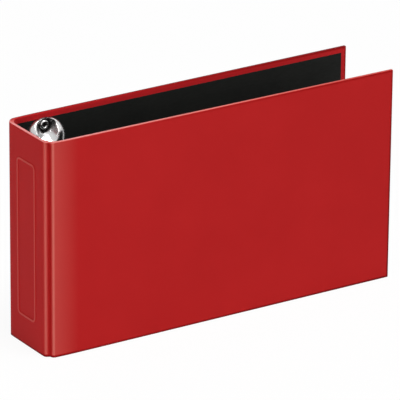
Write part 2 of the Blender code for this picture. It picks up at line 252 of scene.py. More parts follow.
# painted highlights make it pale on the front's ridges and edges, and painted shade makes it darker in
# grooves, at the foot and on the back's edges
# the painted light level: above 0 a painted highlight, below 0 painted shade
paintedLightLevel = attributeOn(tree, "noiseStretchAndPaintedLight")
for tone, (start, end) in filmFinish["tones"].items():
    colour = towards(tree, colour, filmFinish[tone], spread(tree, paintedLightLevel, 0.0, 1.0, start, end))
tree.links.new(colour, shader.inputs["Base Color"])
tree.links.new(spread(tree, grain, *filmFinish["roughness"]), shader.inputs["Roughness"])
pebble = addNode(
    tree,
    "ShaderNodeTexVoronoi",
    {"Scale": filmFinish["pebbleScale"], "Smoothness": filmFinish["pebbleSmoothness"]},
    feature="SMOOTH_F1",
)
tree.links.new(place, pebble.inputs["Vector"])
bumps(
    tree,
    shader,
    [
        (patch, *filmFinish["patchBump"]),
        (pebble.outputs["Distance"], *filmFinish["pebbleBump"]),
        (grain, *filmFinish["grainBump"]),
    ],
)

liningFinish = {
    "dark": (0.0070, 0.0076, 0.0068),
    "light": (0.0104, 0.0110, 0.0098),
    "cloudScale": 40,
    "fibreScale": 900,
    "fibreStretch": (0.35, 1.0, 1.0),
    "fibreBump": (0.22, 0.00010),
    "roughness": (0.62, 0.82),
    "specular": 0.12,
}
liningBlack, tree, shader, place = newMaterial(
    "liningBlack", {"Specular IOR Level": liningFinish["specular"]}
)
fibre = noiseOn(tree, place, liningFinish["fibreScale"], detail=4, noiseStretchAndPaintedLight=liningFinish["fibreStretch"])
cloud = noiseOn(tree, place, liningFinish["cloudScale"], detail=3)
colour = twoColours(tree, cloud, liningFinish["dark"], liningFinish["light"])
tree.links.new(colour, shader.inputs["Base Color"])
tree.links.new(spread(tree, fibre, *liningFinish["roughness"]), shader.inputs["Roughness"])
bumps(tree, shader, [(fibre, *liningFinish["fibreBump"])])

boardFinish = {
    "dark": (0.27, 0.255, 0.23),
    "light": (0.40, 0.38, 0.345),
    "pulpScale": 420,
    "pulpBump": (0.3, 0.0002),
    "roughness": (0.82, 0.95),
    "specular": 0.2,
}
boardGrey, tree, shader, place = newMaterial("boardGrey", {"Specular IOR Level": boardFinish["specular"]})
pulp = noiseOn(tree, place, boardFinish["pulpScale"], detail=5)
colour = twoColours(tree, pulp, boardFinish["dark"], boardFinish["light"])
tree.links.new(colour, shader.inputs["Base Color"])
tree.links.new(spread(tree, pulp, *boardFinish["roughness"]), shader.inputs["Roughness"])
bumps(tree, shader, [(pulp, *boardFinish["pulpBump"])])

steelFinish = {
    "dull": (0.555, 0.555, 0.555),
    "bright": (0.625, 0.625, 0.625),
    # painted shade tone for the dishes, the bores and the rivet heads
    "paintedShade": (0.06, 0.06, 0.06),
    "hazeScale": 120,
    "brushScale": 650,
    "brushStretch": (1.0, 1.0, 0.12),
    "brushBump": (0.03, 0.00004),
    "roughness": (0.21, 0.28),
}
steelBright, tree, shader, place = newMaterial("steelBright", {"Metallic": 1.0})
brush = noiseOn(tree, place, steelFinish["brushScale"], detail=3, noiseStretchAndPaintedLight=steelFinish["brushStretch"])
haze = noiseOn(tree, place, steelFinish["hazeScale"])
colour = twoColours(tree, haze, steelFinish["dull"], steelFinish["bright"])
# painted shade: the steel is darker in the dishes round the rivets, in the bores and on the rivet heads
paintedShadeShare = spread(tree, attributeOn(tree, "paintedShade"), 0.0, 1.0, 0.0, 1.0)
colour = towards(tree, colour, steelFinish["paintedShade"], paintedShadeShare)
tree.links.new(colour, shader.inputs["Base Color"])
tree.links.new(spread(tree, brush, *steelFinish["roughness"]), shader.inputs["Roughness"])
bumps(tree, shader, [(brush, *steelFinish["brushBump"])])
print("finishes made")


# wrapped covers and spine

case = {
    "length": 250 * mm,
    "height": 140 * mm,
    "board": 2.2 * mm,
    "hingeDepth": 2.0 * mm,  # hinge axis, behind the outer faces
    "hingeGap": 1.4 * mm,  # hinge axis to the ends of the boards
    "splay": math.radians(0.8),
    "edgeRound": 0.5 * mm,
    "edgeSteps": 3,
    "film": 0.3 * mm,
    "turnIn": 12 * mm,
    "border": 1.25 * mm,  # ends past the painted shade run, so that no painted tone spreads over the flats
    # painted light along the outside and the inside of the top edge: a painted highlight above 0, painted
    # shade below
    "rims": {"front": (2.0, 1.4), "spine": (2.0, 1.4), "back": (-2.0, -0.6)},
    # painted shade along the foot and the fore edge
    "footEdgePaintedShade": -1.8,
    "foreEdgePaintedShade": -1.3,
    "edgeShadeReach": (0.90 * mm, 1.70 * mm),  # painted shade darkens the foot and the fore edge over this run
}
fold = {
    "grooveRound": 0.4 * mm,
    "wall": 1.2 * mm,
    "wallAngle": math.radians(85),
    "ridgeRound": 2.0 * mm,
    "easeAngle": math.radians(3.2),
    "coverEase": 16 * mm,  # the film eases down towards the crease over this run
    "spineEase": 5 * mm,
    "insideRound": 7.5 * mm,
    "grooveSteps": 4,
    "ridgeSteps": 12,
    "easeSteps": 10,
    "insideSteps": 14,
    "settleRun": 8.0 * mm,
    "blendHalf": 2.0 * mm,
}
frontHinge = Vector(joints["front_cover_hinge"]["pos_m"])
backHinge = Vector(joints["back_cover_hinge"]["pos_m"])
frontHinge.z = backHinge.z = 0
coverLength = case["length"] - case["hingeDepth"] - case["hingeGap"]
spineLength = backHinge.y - frontHinge.y - 2 * case["hingeGap"]

# each panel is drawn with X from its crease, Y from its outer face inwards and Z up
frontPlace = (
    Matrix.Translation(frontHinge)
    @ Matrix.Rotation(-case["splay"], 4, "Z")
    @ Matrix.Translation((case["hingeGap"], -case["hingeDepth"], 0))
)
backPlace = Matrix.Translation(
    backHinge + Vector((case["hingeGap"], case["hingeDepth"], 0))
) @ Matrix.Diagonal((1, -1, 1, 1))
spinePlace = Matrix.Translation(frontHinge + Vector((-case["hingeDepth"], case["hingeGap"], 0))) @ Matrix(
    ((0, 1, 0, 0), (1, 0, 0, 0), (0, 0, 1, 0), (0, 0, 0, 1))
)


# share of the painted top-edge highlight, fading away from the top
def edgeShare(distance):
    return max(0, 1 - distance / case["edgeRound"]) ** 2


# share of the painted shade, fading away from the foot and the fore edge
def edgeShadeShare(distance):
    start, end = case["edgeShadeReach"]
    return min(max((end - distance) / (end - start), 0), 1)


# painted highlight along the top edge and painted shade along the foot
def edgePaintedLight(side, z, inward):
    # inward runs from 0 on the outer face to 1 on the inner one
    outer, inner = case["rims"][side]
    top = edgeShare(case["height"] - z) * (outer + (inner - outer) * inward)
    return top + edgeShadeShare(z) * case["footEdgePaintedShade"]


def easeRound(ease):
    return ease / math.sin(fold["easeAngle"])


def grooveDepth(ease):
    # bottom of the groove, below the flat that the film eases up to
    rounds = (fold["grooveRound"] + fold["ridgeRound"]) * math.cos(fold["wallAngle"])
    return (
        fold["grooveRound"] * math.cos(math.pi / 4)
        + fold["wall"] * math.sin(fold["wallAngle"])
        + fold["ridgeRound"] * math.cos(fold["easeAngle"])
        + easeRound(ease) * (1 - math.cos(fold["easeAngle"]))
        - rounds
    )


def creaseReach(ease, otherEase):
    # from the corner of the outer faces to the flat
    return (
        grooveDepth(otherEase)
        + (fold["grooveRound"] + fold["ridgeRound"]) * math.sin(fold["wallAngle"])
        - fold["grooveRound"] * math.sin(math.pi / 4)
        + fold["wall"] * math.cos(fold["wallAngle"])
        - fold["ridgeRound"] * math.sin(fold["easeAngle"])
        + ease
    )


coverSeam = creaseReach(fold["coverEase"], fold["spineEase"])
spineSeam = creaseReach(fold["spineEase"], fold["coverEase"])


def wrap(side, length, cuts, place, body):
    # cuts are where the creased pieces take over, as (x, way along X that is kept)
    bm = boxShape((0, 0, 0), (length, case["board"], case["height"]))
    softEdges(bm, sharpEdges(bm), case["edgeRound"], case["edgeSteps"])
    outside = min(bm.faces, key=lambda face: face.calc_area() * face.normal.y)
    inside = max(bm.faces, key=lambda face: face.calc_area() * face.normal.y)
    for face in (outside, inside):  # a border that keeps the flats flat beside the rounded edges
        bmesh.ops.inset_region(bm, faces=[face], thickness=case["border"], use_even_offset=True)
    flap = case["turnIn"] - case["border"]
    bmesh.ops.inset_region(bm, faces=[inside], thickness=flap, use_even_offset=True)
    bmesh.ops.delete(bm, geom=[inside], context="FACES")
    for x, way in cuts:
        bmesh.ops.bisect_plane(
            bm, geom=everything(bm), plane_co=(x, 0, 0), plane_no=(way, 0, 0), clear_inner=True
        )
    isCover = len(cuts) == 1

    # painted light: a highlight on the top edge, shade on the foot and on a cover's fore edge
    def wrapPaintedLight(co):
        inward = (co.y - case["edgeRound"]) / (case["board"] - 2 * case["edgeRound"])
        rimPaintedLight = edgePaintedLight(side, co.z, min(max(inward, 0), 1))
        return rimPaintedLight + edgeShadeShare(length - co.x) * case["foreEdgePaintedShade"] if isCover else rimPaintedLight

    markVerts(bm, "noiseStretchAndPaintedLight", wrapPaintedLight)
    # marks the turned-in film, which the finish paints lighter
    markVerts(bm, "inside", lambda co: smoothStep(2 * co.y / case["board"] - 1))
    bm.transform(place)
    outward(bm)
    away = place.to_3x3() @ Vector((0, -1, 0))
    if sum(face.normal.dot(away) * face.calc_area() for face in bm.faces) < 0:
        bmesh.ops.reverse_faces(bm, faces=bm.faces)
    made = piece(side + "Wrap", bm, filmRed, body)
    addWall(made, case["film"])
    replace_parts(made, side + "_skin")


boardStart = case["hingeDepth"] + case["hingeGap"]
coverCuts = [(coverSeam - boardStart, 1)]
spineCuts = [(spineSeam - boardStart, 1), (spineLength - spineSeam + boardStart, -1)]
wrap("front", coverLength, coverCuts, frontPlace, "front_cover")
wrap("back", coverLength, coverCuts, backPlace, "back_cover")
wrap("spine", spineLength, spineCuts, spinePlace, "spine")
print("covers and spine wrapped")


# grey boards inside the panels

board = {"inset": 0.5 * mm, "start": 7.5 * mm, "edgeRound": 0.25 * mm, "edgeSteps": 2}


def boardSheet(name, length, farInset, place, node, body):
    low = (board["start"] - boardStart, board["inset"], board["inset"])
    high = (length - farInset, case["board"] - board["inset"], case["height"] - board["inset"])
    bm = boxShape(low, high)
    softEdges(bm, sharpEdges(bm), board["edgeRound"], board["edgeSteps"])
    bm.transform(place)
    outward(bm)
    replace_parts(piece(name, bm, boardGrey, body), node)


boardSheet("frontBoard", coverLength, board["inset"], frontPlace, "front_board", "front_cover")
boardSheet("backBoard", coverLength, board["inset"], backPlace, "back_board", "back_cover")
boardSheet("spineBoard", spineLength, board["start"] - boardStart, spinePlace, "spine_board", "spine")
print("boards cut")


# plain raised frame on the spine

frameRule = {
    "width": 22 * mm,
    "height": 104 * mm,
    "corner": 4 * mm,
    "cornerSteps": 6,
    "rule": 2.4 * mm,
    "rise": 0.45 * mm,
    "steps": 8,
    "sunk": 0.05 * mm,
    # painted shade at the frame's feet and a painted highlight on its crest
    "framePaintedShade": -0.7,
    "framePaintedHighlight": 0.55,
}
bm = boxShape(
    ((spineLength - frameRule["width"]) / 2, 0, (case["height"] - frameRule["height"]) / 2),
    ((spineLength + frameRule["width"]) / 2, case["film"], (case["height"] + frameRule["height"]) / 2),
)
corners = [edge for edge in bm.edges if abs(edge.verts[0].co.y - edge.verts[1].co.y) > near]
softEdges(bm, corners, frameRule["corner"], frameRule["cornerSteps"])
field = [min(bm.faces, key=lambda face: face.normal.y)]
bmesh.ops.delete(bm, geom=[face for face in bm.faces if face not in field], context="FACES")
bmesh.ops.translate(bm, vec=(0, frameRule["sunk"], 0), verts=bm.verts)
markVerts(bm, "noiseStretchAndPaintedLight", lambda co: frameRule["framePaintedShade"])
noiseStretchAndPaintedLight = bm.verts.layers.float["noiseStretchAndPaintedLight"]
paintedLightSpan = frameRule["framePaintedHighlight"] - frameRule["framePaintedShade"]
before = 0
for step in range(1, frameRule["steps"] + 1):
    crest = math.sin(math.pi * step / frameRule["steps"])
    rise = (frameRule["rise"] + frameRule["sunk"]) * crest
    bmesh.ops.inset_region(
        bm,
        faces=field,
        thickness=frameRule["rule"] / frameRule["steps"],
        depth=rise - before,
        use_even_offset=True,
        use_boundary=True,
    )
    before = rise
    # each step moves from the painted shade at the feet towards the painted highlight on the crest
    for vert in field[0].verts:
        vert[noiseStretchAndPaintedLight] = frameRule["framePaintedShade"] + paintedLightSpan * crest
bmesh.ops.delete(bm, geom=field, context="FACES")
bmesh.ops.bridge_loops(bm, edges=[edge for edge in bm.edges if edge.is_boundary])
bm.transform(spinePlace)
outward(bm)
piece("spineFrame", bm, filmRed, "spine", smooth=60)
print("spine frame raised")


# creases between the spine and the covers, drawn round the hinge axis: X along the cover, Y inwards

crease = {
    "liningProud": 0.10 * mm,
    "lining": 0.25 * mm,
    "liningLeg": 1.6 * mm,
    "turnIn": 3.8 * mm,
    "ridgeWidth": 0.9 * mm,
    "grooveWidth": 0.55 * mm,
    # painted shade in the groove, and a painted highlight on the band beside the cover's ridge
    "groovePaintedShade": 0.6,
    "ridges": {"front": (0.75, 1.0), "back": (-2.0, -0.8)},  # painted light on the spine's side and on the cover's: painted highlights on the front's ridges, painted shade on the back's
    "bandPaintedHighlight": 0.34,
    "capInset": 0.2 * mm,
    "capPaintedLightShare": 0.35,
    "innerFade": (3.0 * mm, 5.0 * mm),  # the painted highlight on the top narrows to a line round the corner
    "innerSide": 2.75 * mm,
    "outerSkin": 1.2 * mm,
    "endRun": 2.4 * mm,  # the groove runs out towards the top and bottom edges
    "endLevels": (0.7 * mm, 1.1 * mm, 1.5 * mm, 1.9 * mm, 2.4 * mm),
    "endFill": (0.35, 0.9),  # at the bottom and at the top
    "endBulge": 0.7 * mm,
}
insideStand = case["board"] - case["hingeDepth"]


def foldHalf(bm, first, ease, swap):
    # from the bottom of the groove, up its wall, over the ridge and out to the flat
    def turned(x, y):
        return Vector((y, x, 0)) if swap else Vector((x, y, 0))

    way = -1 if swap else 1
    angle, wall = fold["easeAngle"], fold["wallAngle"]
    quarter = math.pi / 4
    here = [first]

    def arc(radius, fromAngle, toAngle, steps, side):
        toCentre = radius * side * turned(math.sin(fromAngle), math.cos(fromAngle))
        made = bmesh.ops.spin(
            bm,
            geom=here,
            cent=here[0].co + toCentre,
            axis=(0, 0, 1),
            angle=way * (fromAngle - toAngle),
            steps=steps,
        )
        return only(bmesh.types.BMVert, made["geom_last"])

    def straight(move):
        made = bmesh.ops.extrude_vert_indiv(bm, verts=here)["verts"]
        bmesh.ops.translate(bm, verts=made, vec=move)
        return made

    here = arc(fold["grooveRound"], quarter, wall, fold["grooveSteps"], -1)
    here = straight(fold["wall"] * turned(math.cos(wall), -math.sin(wall)))
    here = arc(fold["ridgeRound"], wall, angle, fold["ridgeSteps"], 1)
    here = arc(easeRound(ease), angle, 0, fold["easeSteps"], 1)
    return straight(turned(0, case["board"]))


def settle(bm, hinge, flip, splay):
    # turns the cover's side of a crease with the cover, and puts the crease on its hinge
    for vert in bm.verts:
        share = smoothStep(0.5 + (vert.co.x - vert.co.y) / fold["settleRun"])
        vert.co.xy = Matrix.Rotation(-splay * share, 2) @ vert.co.xy
    turn = Matrix.Translation(hinge) @ Matrix.Diagonal((1, flip, 1, 1))
    bm.transform(turn)
    outward(bm)
    return turn


def bendWith(made, turn, body):
    half = fold["blendHalf"]
    start, end = (turn @ Vector((way * half, -way * half, 0)) for way in (-1, 1))
    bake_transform(made, "spine", body, start=start, end=end)


def alongAcross(co):
    # along runs over the fold from the spine to the cover, across from the outside in
    return (co.x - co.y) / math.sqrt(2), (co.x + co.y) / math.sqrt(2)


def isInner(co):
    along, across = alongAcross(co)
    return across > max(abs(along) - crease["outerSkin"], crease["innerSide"])


def innerShare(co):
    start, end = crease["innerFade"]
    return smoothStep((abs(alongAcross(co)[0]) - start) / (end - start))


# painted highlights on the ridges and the band beside them, painted shade in the groove, and the edges as on
# the wraps
def creasePaintedLight(co, side):
    along = alongAcross(co)[0]
    turned = smoothStep(0.5 + along / (2 * ridgeAlong))  # from the spine's half to the cover's
    inward = 1 if isInner(co) else 0
    spineRim, coverRim = (edgePaintedLight(panel, co.z, inward) for panel in ("spine", side))
    rimPaintedLight = spineRim + (coverRim - spineRim) * turned
    if inward:
        return rimPaintedLight
    strength = crease["ridges"][side][1 if along > 0 else 0]
    onRidge = math.exp(-(((abs(along) - ridgeAlong) / crease["ridgeWidth"]) ** 2))
    inGroove = math.exp(-((along / crease["grooveWidth"]) ** 2))
    band = 0
    if along > ridgeAlong:
        band = crease["bandPaintedHighlight"] * max(0, 1 - (along - ridgeAlong) / (flatAlong - ridgeAlong))
    onWall = strength * max(onRidge, band) - crease["groovePaintedShade"] * inGroove
    return rimPaintedLight + onWall * (1 - max(edgeShare(case["height"] - co.z), edgeShadeShare(co.z)))


flatAlong = coverSeam / math.sqrt(2)
rounds = fold["grooveRound"] + fold["ridgeRound"]
ridgeAlong = (
    rounds * (math.sin(fold["wallAngle"]) - math.cos(fold["wallAngle"]))
    + fold["wall"] * (math.sin(fold["wallAngle"]) + math.cos(fold["wallAngle"]))
) / math.sqrt(2)


def runOut(bm):
    # fills the groove out to a rounded corner at its two ends
    wall = max(crease["endLevels"])
    profile = sorted(
        alongAcross(vert.co) for vert in bm.verts if abs(vert.co.z - wall) < near and not isInner(vert.co)
    )

    def outerAcross(along):
        for (before, low), (after, high) in zip(profile, profile[1:]):
            if before <= along <= after:
                return low + (high - low) * (along - before) / max(after - before, tiny)
        return profile[0][1] if along < 0 else profile[-1][1]

    ridges = (outerAcross(-ridgeAlong), outerAcross(ridgeAlong))
    for vert in bm.verts:
        along = alongAcross(vert.co)[0]
        if abs(along) > ridgeAlong or isInner(vert.co):
            continue
        fromEnd = min(vert.co.z, case["height"] - vert.co.z)
        fill = crease["endFill"][1 if vert.co.z > case["height"] / 2 else 0]
        share = fill * smoothStep(1 - fromEnd / crease["endRun"])
        middle = (along / ridgeAlong + 1) / 2
        bulge = crease["endBulge"] * 4 * middle * (1 - middle)
        target = ridges[0] + (ridges[1] - ridges[0]) * middle - bulge
        out = share * min(0, target - outerAcross(along)) / math.sqrt(2)
        vert.co += Vector((out, out, 0))


def creasedFilm(side, hinge, flip, splay, body):
    bm = bmesh.new()
    bottom = Vector(
        (
            grooveDepth(fold["spineEase"]) - case["hingeDepth"],
            grooveDepth(fold["coverEase"]) - case["hingeDepth"],
            0,
        )
    )
    first = bm.verts.new(bottom)
    coverEnd = foldHalf(bm, first, fold["coverEase"], False)
    spineEnd = foldHalf(bm, first, fold["spineEase"], True)
    inner = bmesh.ops.extrude_vert_indiv(bm, verts=coverEnd)["verts"]
    inner[0].co = Vector((insideStand + fold["insideRound"], insideStand, 0))
    made = bmesh.ops.spin(
        bm,
        geom=inner,
        cent=inner[0].co + Vector((0, fold["insideRound"], 0)),
        axis=(0, 0, 1),
        angle=-math.pi / 2,
        steps=fold["insideSteps"],
    )
    last = only(bmesh.types.BMVert, made["geom_last"])
    bm.edges.new(last + spineEnd)
    bmesh.ops.contextual_create(bm, geom=bm.verts[:] + bm.edges[:])
    grown = bmesh.ops.extrude_face_region(bm, geom=bm.faces[:])
    raised = only(bmesh.types.BMVert, grown["geom"])
    bmesh.ops.translate(bm, vec=(0, 0, case["height"]), verts=raised)
    outward(bm)
    ends = (coverSeam - case["hingeDepth"], spineSeam - case["hingeDepth"])
    rims = []
    for edge in sharpEdges(bm, angle=60):
        level = abs(edge.verts[0].co.z - edge.verts[1].co.z) < near
        atSeam = any(
            all(abs(vert.co[axis] - ends[axis]) < near for vert in edge.verts) for axis in (0, 1)
        )
        if level and not atSeam:
            rims.append(edge)
    softEdges(bm, rims, case["edgeRound"], case["edgeSteps"], clamp=False)
    for level in crease["endLevels"]:
        for z in (level, case["height"] - level):
            bmesh.ops.bisect_plane(bm, geom=everything(bm), plane_co=(0, 0, z), plane_no=(0, 0, 1))
    markVerts(bm, "noiseStretchAndPaintedLight", lambda co: creasePaintedLight(co, side))
    # marks the inner side of the fold, which the finish paints lighter
    markVerts(bm, "inside", lambda co: 1 if isInner(co) else 0)
    runOut(bm)
    caps = sorted(bm.faces, key=lambda face: abs(face.normal.z) * len(face.verts))[-2:]
    bmesh.ops.inset_region(bm, faces=caps, thickness=crease["capInset"], use_even_offset=True)
    # the caps keep only part of the painted light near the middle of the fold, and all of it further out
    noiseStretchAndPaintedLight = bm.verts.layers.float["noiseStretchAndPaintedLight"]
    for vert in {vert for cap in caps for vert in cap.verts}:
        vert[noiseStretchAndPaintedLight] *= crease["capPaintedLightShare"] + (1 - crease["capPaintedLightShare"]) * innerShare(vert.co)
    turn = settle(bm, hinge, flip, splay)
    made = piece(side + "CreaseFilm", bm, filmRed)
    bendWith(made, turn, body)
    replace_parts(made, side + "_hinge_film")


def creaseLining(side, hinge, flip, splay, body):
    # a line swept round the inside of the fold, with a leg on each panel
    bm = bmesh.new()
    reach = fold["insideRound"] - crease["liningProud"]
    centre = Vector((1, 1, 0)) * (insideStand + fold["insideRound"])
    levels = (crease["turnIn"], case["height"] - crease["turnIn"])
    line = [bm.verts.new(centre + Vector((0, -reach, z))) for z in levels]
    edge = bm.edges.new(line)
    swept = bmesh.ops.spin(
        bm,
        geom=line + [edge],
        cent=centre,
        axis=(0, 0, 1),
        angle=-math.pi / 2,
        steps=fold["insideSteps"],
    )
    last = only(bmesh.types.BMEdge, swept["geom_last"])
    leg = crease["liningLeg"]
    for ends, way in (([edge], (leg, 0, 0)), (last, (0, leg, 0))):
        grown = bmesh.ops.extrude_edge_only(bm, edges=ends)
        bmesh.ops.translate(bm, vec=way, verts=only(bmesh.types.BMVert, grown["geom"]))
    bmesh.ops.recalc_face_normals(bm, faces=bm.faces)
    if sum((centre - face.calc_center_median()).xy.dot(face.normal.xy) for face in bm.faces) < 0:
        bmesh.ops.reverse_faces(bm, faces=bm.faces)
    bmesh.ops.solidify(bm, geom=bm.faces[:], thickness=crease["lining"])
    turn = settle(bm, hinge, flip, splay)
    made = piece(side + "CreaseLining", bm, liningBlack)
    bendWith(made, turn, body)
    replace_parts(made, side + "_hinge_lining")


for side, hinge, flip, splay in (("front", frontHinge, 1, case["splay"]), ("back", backHinge, -1, 0)):
    body = side + "_cover"
    creasedFilm(side, hinge, flip, splay, body)
    creaseLining(side, hinge, flip, splay, body)
print("creases folded")


# black linings

lining = {
    "margin": 3.8 * mm,
    "creaseMargin": 6.5 * mm,
    "sheet": 0.30 * mm,
    "proud": 0.12 * mm,
    "edgeRound": 0.08 * mm,
    "edgeSteps": 2,
    "turnInStep": 0.18 * mm,  # the turned-in film shows as a step through the paper
    "stepRun": 0.9 * mm,
    "border": 0.3 * mm,
}


def liningSheet(name, length, farMargin, place, node, body):
    top = case["board"] + lining["proud"]
    low = (lining["creaseMargin"], top - lining["sheet"], lining["margin"])
    high = (length - farMargin, top, case["height"] - lining["margin"])
    bm = boxShape(low, high)
    softEdges(bm, sharpEdges(bm), lining["edgeRound"], lining["edgeSteps"])
    inside = max(bm.faces, key=lambda face: face.calc_area() * face.normal.y)
    border = case["turnIn"] - lining["margin"] - lining["border"]
    for width in (lining["border"], border):
        bmesh.ops.inset_region(bm, faces=[inside], thickness=width, use_even_offset=True)
    bmesh.ops.inset_region(
        bm,
        faces=[inside],
        thickness=lining["stepRun"],
        depth=-lining["turnInStep"],
        use_even_offset=True,
    )
    for vert in inside.verts:  # no film is turned in along a crease
        if vert.co.x < length / 2 or farMargin == lining["creaseMargin"]:
            vert.co.y += lining["turnInStep"]
    bm.transform(place)
    outward(bm)
    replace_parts(piece(name, bm, liningBlack, body, smooth=30), node)


liningSheet("frontLining", coverLength, lining["margin"], frontPlace, "front_lining", "front_cover")
liningSheet("backLining", coverLength, lining["margin"], backPlace, "back_lining", "back_cover")
liningSheet("spineLining", spineLength, lining["creaseMargin"], spinePlace, "spine_lining", "spine")
print("linings laid")


# ring mechanism on the inside of the back cover

mechanism = {
    "x": -99 * mm,
    "length": 133 * mm,
    "width": 28 * mm,
    "rise": 8 * mm,
    "foot": 0.55 * mm,
    "sheet": 0.8 * mm,
    "crownPower": 4,
    "endRounding": 12 * mm,
    "tipWidth": 4 * mm,
    "tipRise": 5 * mm,
    "riseRun": 9 * mm,
    "dishFloor": 1.25 * mm,
    "dishFlat": 3.6 * mm,
    "dishRim": 9.0 * mm,
    "dishLengthening": 1.4,
    "rivetInset": 4.2 * mm,
    "acrossSteps": 52,
    "alongSteps": 150,
    "endCrowding": 1.7,
    "seatHole": 2.2 * mm,
    "dishPaintedShade": 0.85,  # painted shade: the dishes are darker round the rivets
    "dishShadeReach": 6.0 * mm,
    "dishShadeShift": 0.9 * mm,
}
mechanismY = backHinge.y + case["hingeDepth"] - case["board"]
middleZ = case["height"] / 2
rivetHeights = [middleZ + way * (mechanism["length"] / 2 - mechanism["rivetInset"]) for way in (1, -1)]


def housingHalfWidth(fromEnd):
    share = min(fromEnd / mechanism["endRounding"], 1)
    spare = (mechanism["width"] - mechanism["tipWidth"]) / 2
    return mechanism["tipWidth"] / 2 + spare * math.sqrt(1 - (1 - share) ** 2)


def housingRise(across, fromEnd):
    # a crowned arch, rounded at each end, with a long dish round the rivet
    half = housingHalfWidth(fromEnd)
    eased = smoothStep(fromEnd / mechanism["riseRun"])
    rise = mechanism["tipRise"] + (mechanism["rise"] - mechanism["tipRise"]) * eased - mechanism["foot"]
    side = min(abs(across) / half, 1)
    arch = mechanism["foot"] + rise * math.sqrt(1 - side ** mechanism["crownPower"])
    if arch < mechanism["dishFloor"]:
        return arch
    along = fromEnd - mechanism["rivetInset"]
    if along > 0:
        along /= mechanism["dishLengthening"]
    slope = mechanism["dishRim"] - mechanism["dishFlat"]
    share = (math.hypot(across, along) - mechanism["dishFlat"]) / slope
    return mechanism["dishFloor"] + (arch - mechanism["dishFloor"]) * smoothStep(share)


def onBackCover(x, rise, z):
    return Vector((mechanism["x"] + x, mechanismY - rise, z))


bm = bmesh.new()
bmesh.ops.create_grid(bm, x_segments=mechanism["acrossSteps"], y_segments=mechanism["alongSteps"], size=1)
for vert in bm.verts:
    across, along = vert.co.x, vert.co.y
    fromEnd = mechanism["length"] / 2 * (1 - abs(along)) ** mechanism["endCrowding"]
    x = housingHalfWidth(fromEnd) * math.sin(math.pi / 2 * across)
    z = middleZ + math.copysign(mechanism["length"] / 2 - fromEnd, along)
    vert.co = onBackCover(x, housingRise(x, fromEnd), z)

ring = {
    "spacing": 80 * mm,
    "radius": 14 * mm,
    "wire": 1.5 * mm,
    "wireSides": 24,
    "bendX": 12.3747 * mm,
    "footX": 10.3747 * mm,
    "footBottom": 2.2 * mm,
    "bendHeight": 3.0 * mm,
    "bendRadius": 2.0 * mm,
    "bendSteps": 8,
    "arcSteps": 36,
    "tipGap": 0.3 * mm,
    "nib": 0.8 * mm,
    "nibLength": 1.2 * mm,
    "nibClearance": 0.3 * mm,
    "tipRound": 0.3 * mm,
    "tipSteps": 3,
    "slotHalf": 1.9 * mm,
    "slotBottom": 1.95 * mm,
}
ringHeights = {"upper": middleZ + ring["spacing"] / 2, "lower": middleZ - ring["spacing"] / 2}
slotInner = ring["footX"] - ring["slotHalf"]
cuts = [(onBackCover(way * slotInner, 0, 0), (1, 0, 0)) for way in (-1, 1)]
cuts += [(onBackCover(0, ring["slotBottom"], 0), (0, 1, 0))]
for height in ringHeights.values():
    cuts += [(Vector((0, 0, height + way * ring["slotHalf"])), (0, 0, 1)) for way in (-1, 1)]
for point, way in cuts:
    bmesh.ops.bisect_plane(bm, geom=everything(bm), plane_co=point, plane_no=way)
openings = []
for face in bm.faces:
    spot = face.calc_center_median()
    inSlot = (
        min(abs(spot.z - height) for height in ringHeights.values()) < ring["slotHalf"]
        and abs(spot.x - mechanism["x"]) > slotInner
        and mechanismY - spot.y > ring["slotBottom"]
    )
    fromRivet = min(math.hypot(spot.x - mechanism["x"], spot.z - height) for height in rivetHeights)
    if inSlot or fromRivet < mechanism["seatHole"]:
        openings.append(face)
bmesh.ops.delete(bm, geom=openings, context="FACES")


# painted shade in the dish, fading out from each rivet
def dishPaintedShade(co):
    across = co.x - mechanism["x"] - mechanism["dishShadeShift"]
    reach = min(math.hypot(across, co.z - height) for height in rivetHeights)
    spare = mechanism["dishShadeReach"] - mechanism["dishFlat"]
    return mechanism["dishPaintedShade"] * smoothStep((mechanism["dishShadeReach"] - reach) / spare)


markVerts(bm, "paintedShade", dishPaintedShade)
bmesh.ops.recalc_face_normals(bm, faces=bm.faces)
if sum(face.normal.y * face.calc_area() for face in bm.faces) > 0:
    bmesh.ops.reverse_faces(bm, faces=bm.faces)
housing = piece("ringHousing", bm, steelBright, "back_cover", smooth=60)
addWall(housing, mechanism["sheet"])
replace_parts(housing, "ring_housing")
print("housing pressed")

ringRise = ring["bendHeight"] + math.sqrt((ring["radius"] + ring["bendRadius"]) ** 2 - ring["bendX"] ** 2)
bendAngle = math.acos(ring["bendX"] / (ring["radius"] + ring["bendRadius"]))


